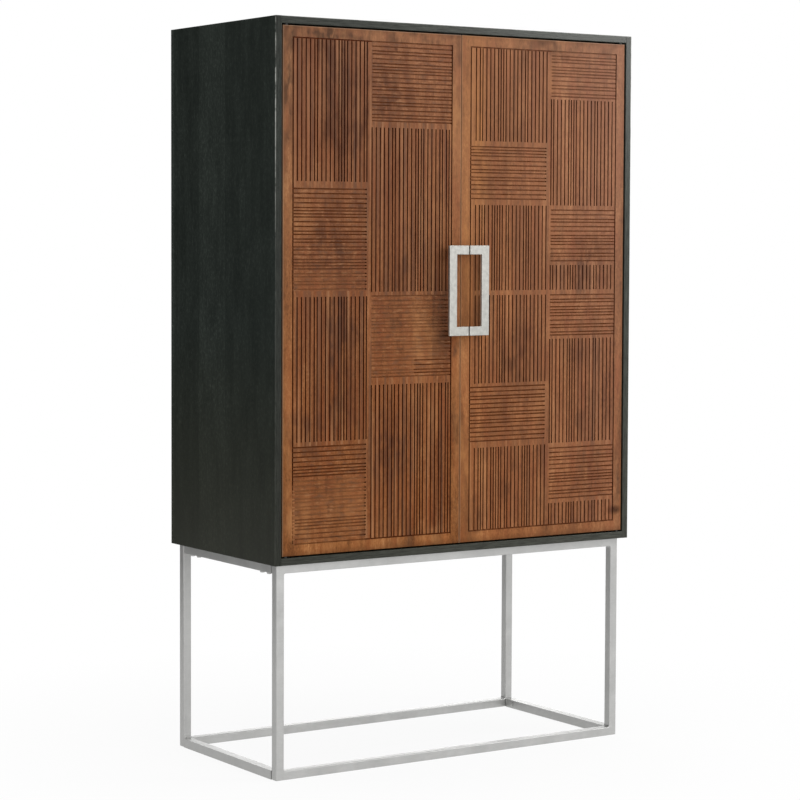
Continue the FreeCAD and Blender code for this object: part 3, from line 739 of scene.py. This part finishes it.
    def finish(self):
        """Satin oil over fine grain with open pores."""
        t = self.t
        relief = t.total(t.product(self.noise["fine"], FINE_RELIEF), t.product(self.pores, PORE_RELIEF))
        t.surface(
            Base_Color=self.wood,
            Roughness=self.ranged(self.tone, "roughness"),
            Specular_IOR_Level=WALNUT_SPECULAR,
            Normal=t.bump(relief, WALNUT_BUMP, WALNUT_BUMP_DEPTH),
        )


CHARCOAL_NOISES = {
    "cloud": Noise((16.0, 16.0, 16.0), distortion=0.4),
    "figure": Noise((48.0, 48.0, 48.0), detail=4.0, distortion=0.5),
    "fine": Noise((340.0, 340.0, 340.0), detail=4.0, roughness=0.7),
    "speckle": Noise((170.0, 170.0, 170.0), roughness=0.7),
    "rubbed": Noise((30.0, 30.0, 16.0), detail=4.0, roughness=0.7),
}
CHARCOAL_STRETCH_POWERS = {"cloud": 0.3, "figure": 1.0, "fine": 1.0, "speckle": 0.2, "rubbed": 0.0}
CHARCOAL_WEIGHTS = {"figure": 0.24, "fine": 0.32, "cloud": 0.27, "board": 0.17}
CHARCOAL_TONES = (
    (0.36, (0.0180, 0.0233, 0.0197)),
    (0.50, (0.0310, 0.0387, 0.0331)),
    (0.64, (0.0480, 0.0586, 0.0504)),
)
OPEN_GRAIN_COLOUR = (0.0900, 0.1070, 0.0920)
WARM_TINT = (0.96, 0.87, 0.72)
WARM_COLOUR = (0.0330, 0.0338, 0.0215)
WARM_COLOUR_SHARE = 0.40
FRONT_SHARE = 0.75
BARE_ARRIS_COLOUR = (0.430, 0.440, 0.405)
TOP_ARRIS_SHARE = 0.25
FRONT_POLISH = 0.18
CHARCOAL_BUMP, CHARCOAL_BUMP_DEPTH = 0.4, 0.2 * MM
CHARCOAL_SPECULAR = 0.16

# Changes of range: from, to, and the shares at these two; lengths are in metres
CHARCOAL_RANGES = {
    "speckle": (0.48, 0.72, 0.0, 1.0),
    "speckle_by_tone": (0.42, 0.58, 0.25, 0.90),
    "warm": (CARCASE_BOTTOM + 0.50, CARCASE_BOTTOM, 0.0, 1.0),
    "at_front": (CARCASE_FRONT + 0.6 * MM, CARCASE_FRONT + 0.1 * MM, 0.0, 1.0),
    "painted_sheen_to_right": (-CARCASE_SIDE, CARCASE_SIDE, 0.0, 1.0),
    "front_grain": (0.35, 0.65, 0.60, 1.40),
    "near_side": (CARCASE_SIDE - 2.2 * MM, CARCASE_SIDE - 0.9 * MM, 0.0, 1.0),
    "near_front": (CARCASE_FRONT + 2.2 * MM, CARCASE_FRONT + 0.9 * MM, 0.0, 1.0),
    "near_top": (CARCASE_TOP - 2.2 * MM, CARCASE_TOP - 0.9 * MM, 0.0, 1.0),
    "rubbed": (0.40, 0.52, 0.0, 1.0),
    "high_up": (CARCASE_TOP - 0.5, CARCASE_TOP - 0.2, 0.05, 1.0),
    "roughness": (0.3, 0.7, 0.40, 0.52),
}


class BoardFinish(NamedTuple):
    """Which way a board runs, across which axis boards are glued, and its front edge's colours at the
    left and at the right, the right one paler by a painted sheen.
    """

    stretch: tuple
    glued_axis: str
    front_left: tuple
    front_right_painted_sheen: tuple


# Front edge colours at the left and at the right; the right one holds a painted sheen
UPRIGHT_BOARD = BoardFinish((1.0, 1.0, 0.08), "Y", (0.0170, 0.0183, 0.0140), (0.0490, 0.0502, 0.0422))
ACROSS_BOARD = BoardFinish((0.08, 1.0, 1.0), "Y", (0.0340, 0.0358, 0.0296), (0.0575, 0.0590, 0.0500))
DEEP_BOARD = ACROSS_BOARD._replace(stretch=(1.0, 0.08, 1.0), glued_axis="X")


def charcoal_material(name, board):
    """Charcoal stain over glued boards of open-grained wood, worn at the outer front edges, with a
    painted sheen on the front edges that grows towards the right.
    """
    material, t = new_material(name)
    place = t.object_place()
    axes = t.split(place)

    def ranged(value, range_name):
        return t.remap(value, *CHARCOAL_RANGES[range_name])

    values = {}
    for key, power in CHARCOAL_STRETCH_POWERS.items():
        values[key] = t.noise(place, CHARCOAL_NOISES[key].along(board.stretch, power))
    board_number = t.math("FLOOR", t.math("DIVIDE", axes[board.glued_axis], BOARD_WIDTH))
    values["board"] = t.add("TexWhiteNoise", {"W": board_number}, noise_dimensions="1D").outputs["Value"]
    tone = t.weighted(values, CHARCOAL_WEIGHTS)
    stain = t.ramp(tone, CHARCOAL_TONES)
    open_grain = t.product(ranged(values["speckle"], "speckle"), ranged(tone, "speckle_by_tone"))
    stain = t.mix(open_grain, stain, OPEN_GRAIN_COLOUR)
    warm = ranged(axes["Z"], "warm")
    stain = t.mix(warm, stain, WARM_TINT, blend="MULTIPLY")
    stain = t.mix(t.product(warm, WARM_COLOUR_SHARE), stain, WARM_COLOUR)

    at_front = ranged(axes["Y"], "at_front")
    # Front edges in their own tone, with a painted sheen that grows towards the right
    front = t.mix(ranged(axes["X"], "painted_sheen_to_right"), board.front_left, board.front_right_painted_sheen)
    front = t.mix(1.0, front, ranged(values["fine"], "front_grain"), blend="MULTIPLY")
    stain = t.mix(t.product(at_front, FRONT_SHARE), stain, front)

    near_side = ranged(t.math("ABSOLUTE", axes["X"]), "near_side")
    near_front = ranged(axes["Y"], "near_front")
    near_top = ranged(axes["Z"], "near_top")
    top_arris = t.product(t.least(near_top, near_front), TOP_ARRIS_SHARE)
    arris = t.math("MAXIMUM", t.least(near_side, near_front), top_arris)
    wear = t.product(arris, ranged(values["rubbed"], "rubbed"), ranged(axes["Z"], "high_up"))
    stain = t.mix(wear, stain, BARE_ARRIS_COLOUR)

    roughness = t.math("SUBTRACT", ranged(values["fine"], "roughness"), t.product(at_front, FRONT_POLISH))
    t.surface(
        Base_Color=stain,
        Roughness=roughness,
        Specular_IOR_Level=CHARCOAL_SPECULAR,
        Normal=t.bump(values["fine"], CHARCOAL_BUMP, CHARCOAL_BUMP_DEPTH),
    )
    return material


class Plating(NamedTuple):
    """Brushed nickel plate; the brush marks run along the axis with the smallest scale."""

    brush_scale: tuple
    colour: tuple = (0.47, 0.47, 0.46)
    metallic: float = 0.7
    roughest: float = 0.44
    cloud_scale: float = 18.0
    contrast: float = 0.12
    relief: float = 0.05


FRAME_PLATING = Plating((60.0, 900.0, 900.0))
SIDE_RAIL_PLATING = Plating((900.0, 60.0, 900.0))
HANDLE_PLATING = Plating(
    (700.0, 700.0, 60.0),
    colour=(0.398, 0.392, 0.364),
    metallic=0.6,
    roughest=0.48,
    cloud_scale=95.0,
    contrast=0.22,
    relief=0.10,
)
NICKEL_WEIGHTS = {"brush": 0.35, "cloud": 0.65}
ROUGHNESS_SPREAD = 0.12
TONE_LOW, TONE_HIGH = 0.3, 0.7
METAL_BUMP_DEPTH = 0.1 * MM


def nickel_material(name, plating):
    """Brushed nickel plate with a cloudy tone."""
    material, t = new_material(name)
    place = t.object_place()
    values = {
        "brush": t.noise(place, Noise(plating.brush_scale, detail=4.0, roughness=0.7)),
        "cloud": t.noise(place, Noise((plating.cloud_scale,) * 3, detail=4.0, roughness=0.65)),
    }
    tone = t.weighted(values, NICKEL_WEIGHTS)
    dull = tuple(part * (1 - plating.contrast) for part in plating.colour)
    bright = tuple(part * (1 + plating.contrast) for part in plating.colour)
    smoothest = plating.roughest - ROUGHNESS_SPREAD
    t.surface(
        Base_Color=t.ramp(tone, ((TONE_LOW, dull), (TONE_HIGH, bright))),
        Metallic=plating.metallic,
        Roughness=t.remap(tone, TONE_LOW, TONE_HIGH, smoothest, plating.roughest),
        Normal=t.bump(tone, plating.relief, METAL_BUMP_DEPTH),
    )
    return material


class Hardware(NamedTuple):
    """Small hardware: its colour, how metallic it is, and its least and most roughness."""

    colour: tuple
    metallic: float
    roughness: tuple


ZINC_STEEL = Hardware((0.50, 0.50, 0.51), 0.9, (0.3, 0.45))
BLACKENED_STEEL = Hardware((0.020, 0.020, 0.019), 0.6, (0.45, 0.6))
BEECH = Hardware((0.58, 0.42, 0.25), 0.0, (0.5, 0.65))
CATCH_PLASTIC = Hardware((0.04, 0.04, 0.04), 0.0, (0.45, 0.6))
HARDWARE_MOTTLE = Noise((240.0, 240.0, 240.0))
MOTTLE_DARKEST, MOTTLE_PALEST = 0.8, 1.15
HARDWARE_BUMP = 0.15


def hardware_material(name, hardware):
    """One colour broken up by fine mottling."""
    material, t = new_material(name)
    mottle = t.noise(t.object_place(), HARDWARE_MOTTLE)
    dark = tuple(part * MOTTLE_DARKEST for part in hardware.colour)
    pale = tuple(min(1.0, part * MOTTLE_PALEST) for part in hardware.colour)
    t.surface(
        Base_Color=t.ramp(mottle, ((TONE_LOW, dark), (TONE_HIGH, pale))),
        Metallic=hardware.metallic,
        Roughness=t.remap(mottle, TONE_LOW, TONE_HIGH, *hardware.roughness),
        Normal=t.bump(mottle, HARDWARE_BUMP, METAL_BUMP_DEPTH),
    )
    return material


UPRIGHT_WORDS = ("side_panel", "back_panel", "centre_divider", "rack_upright")


def paint_nodes(nickel):
    """Give every node its finish, by its name, its slot in the record and the way its board runs."""
    handle = nickel_material("nickel_handle", HANDLE_PLATING)
    side_rail = nickel_material("nickel_side_rail", SIDE_RAIL_PLATING)
    blackened = hardware_material("blackened_steel", BLACKENED_STEEL)
    charcoal_up = charcoal_material("charcoal_upright", UPRIGHT_BOARD)
    charcoal_across = charcoal_material("charcoal_across", ACROSS_BOARD)
    charcoal_deep = charcoal_material("charcoal_deep", DEEP_BOARD)
    by_slot = {
        "nickel": nickel,
        "hardware_steel": hardware_material("zinc_steel", ZINC_STEEL),
        "dowel_wood": hardware_material("beech", BEECH),
        "catch_plastic": hardware_material("catch_plastic", CATCH_PLASTIC),
    }
    by_name = {
        "left_door_panel": Walnut("walnut_left_door", LEFT_DOOR).material,
        "right_door_panel": Walnut("walnut_right_door", RIGHT_DOOR).material,
        "left_handle": handle,
        "right_handle": handle,
        "hinge_pins": blackened,
    }
    for part in frame["record"]["subparts"]:
        name = part["node"]
        finish = by_name.get(name) or by_slot.get(part["material_slot"])
        if name.endswith("_leaf"):
            finish = blackened
        elif name.endswith("side_rail"):
            finish = side_rail
            soften_edges(NODES[name])
        if finish is None:
            finish = charcoal_across
            if any(word in name for word in UPRIGHT_WORDS):
                finish = charcoal_up
            elif "stemware_rail" in name:
                finish = charcoal_deep
        set_material(NODES[name], finish)


def set_material(piece, material):
    """One material on every slot of a piece."""
    if not piece.material_slots:
        piece.data.materials.append(material)
    for slot in piece.material_slots:
        slot.material = material


def soften_edges(piece):
    """Rounded edges of a tube, with even shading."""
    bevel = piece.modifiers.new("soft_edges", "BEVEL")
    bevel.width = TUBE_ROUNDING
    bevel.segments = ROUNDING_STEPS
    bevel.limit_method = "ANGLE"
    bevel.angle_limit = ROUNDED_FROM_ANGLE
    bevel.harden_normals = True


def new_piece(name, data):
    piece = bpy.data.objects.new(name, data)
    bpy.context.scene.collection.objects.link(piece)
    return piece


def frame_outlines(nodes):
    """Outlines of a welded frame as (x, z) points: the outer one, and the inner one along the beads."""
    lows, highs = zip(*(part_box(node) for node in nodes))
    left, bottom = min(low.x for low in lows), min(low.z for low in lows)
    right, top = max(high.x for high in highs), max(high.z for high in highs)
    leg_low, leg_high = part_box(nodes[0])
    rail_low, rail_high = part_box(nodes[2])
    tube = leg_high.x - leg_low.x
    bead = (rail_high.z - rail_low.z) - tube
    inset = tube + bead
    outer = [(left, bottom), (right, bottom), (right, top), (left, top)]
    inner = []
    for x, z, turn in (
        (left + inset, bottom + inset, 180),
        (right - inset, bottom + inset, 270),
        (right - inset, top - inset, 0),
        (left + inset, top - inset, 90),
    ):
        for step in range(WELD_ARC_STEPS + 1):
            angle = math.radians(turn + 90 * step / WELD_ARC_STEPS)
            inner.append((x + bead * math.cos(angle), z + bead * math.sin(angle)))
    return outer, inner


def welded_frame(end, material):
    """One welded frame of the base: a ring of square tube with beads in its inner corners."""
    nodes = [f"{end}_left_leg", f"{end}_right_leg", f"{end}_bottom_rail", f"{end}_top_rail"]
    front = min(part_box(node)[0].y for node in nodes)
    back = max(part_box(node)[1].y for node in nodes)
    mesh = bmesh.new()
    edges = []
    for outline in frame_outlines(nodes):
        loop = [mesh.verts.new((x, front, z)) for x, z in outline]
        edges += [mesh.edges.new((a, b)) for a, b in zip(loop, loop[1:] + loop[:1])]
    bmesh.ops.triangle_fill(mesh, edges=edges, use_beauty=True)
    made = bmesh.ops.extrude_face_region(mesh, geom=mesh.faces[:])
    moved = [item for item in made["geom"] if isinstance(item, bmesh.types.BMVert)]
    bmesh.ops.translate(mesh, verts=moved, vec=(0, back - front, 0))
    bmesh.ops.recalc_face_normals(mesh, faces=mesh.faces[:])
    data = bpy.data.meshes.new(f"{end}_frame")
    mesh.to_mesh(data)
    mesh.free()
    piece = new_piece(f"{end}_frame", data)
    set_material(piece, material)
    soften_edges(piece)
    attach(piece, "cabinet")
    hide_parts(*nodes)


def seen_directly(t):
    """1 for the rays that look at the background: from the camera, by reflection or through glass."""
    path = t.add("LightPath").outputs
    return t.fold("MAXIMUM", path["Is Camera Ray"], path["Is Glossy Ray"], path["Is Transmission Ray"])


def stage_sheet(name, corners, material):
    """Flat sheet of the stage, which isn't part of the object."""
    data = bpy.data.meshes.new(name)
    data.from_pydata(corners, [], [range(len(corners))])
    sheet = new_piece(name, data)
    set_material(sheet, material)
    return sheet


def make_floor():
    """Pale floor that keeps a soft shadow near the object and goes over to white away from it."""
    material, t = new_material("pale_floor")
    distance = t.length(t.object_place())
    white_share = t.product(seen_directly(t), t.remap(distance, *FLOOR_WHITE_BY_DISTANCE))
    matt = t.add("BsdfDiffuse", {"Color": FLOOR_COLOUR})
    white = t.add("Emission", {"Color": WHITE, "Strength": 1.0})
    blend = t.add("MixShader", {0: white_share, 1: matt.outputs["BSDF"], 2: white.outputs["Emission"]})
    t.add("OutputMaterial", {"Surface": blend.outputs["Shader"]})
    signs = ((-1, -1), (1, -1), (1, 1), (-1, 1))
    stage_sheet("floor", [(x * FLOOR_REACH, y * FLOOR_REACH, 0.0) for x, y in signs], material)


def make_flag():
    """Dark screen at the back left, unseen itself, that the left faces mirror, as in a studio."""
    material, t = new_material("dark_cloth")
    matt = t.add("BsdfDiffuse", {"Color": FLAG_COLOUR})
    t.add("OutputMaterial", {"Surface": matt.outputs["BSDF"]})
    corners = []
    for side, up in ((-1, FLAG_FOOT), (1, FLAG_FOOT), (1, FLAG_TOP), (-1, FLAG_TOP)):
        corners.append(FLAG_MIDDLE + FLAG_ALONG * FLAG_HALF_WIDTH * side + Vector((0.0, 0.0, up)))
    flag = stage_sheet("flag", corners, material)
    flag.visible_camera = False


def make_world():
    """White to be looked at, a plain soft level to light by."""
    world = bpy.data.worlds.new("studio")
    bpy.context.scene.world = world
    t = Tree(world)
    light = t.add("Background", {"Color": WHITE, "Strength": WORLD_LIGHT})
    white = t.add("Background", {"Color": WHITE, "Strength": 1.0})
    shaders = {1: light.outputs["Background"], 2: white.outputs["Background"]}
    blend = t.add("MixShader", {0: seen_directly(t), **shaders})
    t.add("OutputWorld", {"Surface": blend.outputs["Shader"]})


def make_lights():
    """The lamps, each turned to its target and not seen itself."""
    for name, lamp in LAMPS.items():
        data = bpy.data.lights.new(name, "AREA")
        data.shape = "RECTANGLE"
        data.size, data.size_y = lamp.size
        data.energy = lamp.power
        holder = new_piece(name, data)
        holder.location = lamp.place
        aim = Vector(lamp.target) - Vector(lamp.place)
        holder.rotation_euler = aim.to_track_quat("-Z", "Y").to_euler()
        holder.visible_camera = False


def make_camera():
    data = bpy.data.cameras.new("photo_camera")
    data.sensor_width = SENSOR_MM
    data.lens = CAMERA_FOCAL_PIXELS / IMAGE_PIXELS * SENSOR_MM
    data.shift_y = CAMERA_SHIFT_Y
    camera = new_piece("photo_camera", data)
    turn = Euler((math.radians(90 + CAMERA_PITCH), 0, math.radians(-CAMERA_YAW))).to_matrix()
    turn = turn @ Matrix.Rotation(math.radians(CAMERA_ROLL), 3, "Z")
    camera.location = CAMERA_PLACE
    camera.rotation_euler = turn.to_euler()
    bpy.context.scene.camera = camera


nickel_finish = nickel_material("nickel_bar", FRAME_PLATING)
paint_nodes(nickel_finish)
welded_frame("front", nickel_finish)
welded_frame("back", nickel_finish)
make_floor()
make_flag()
make_world()
make_lights()
make_camera()
bpy.context.scene.view_settings.view_transform = "Standard"
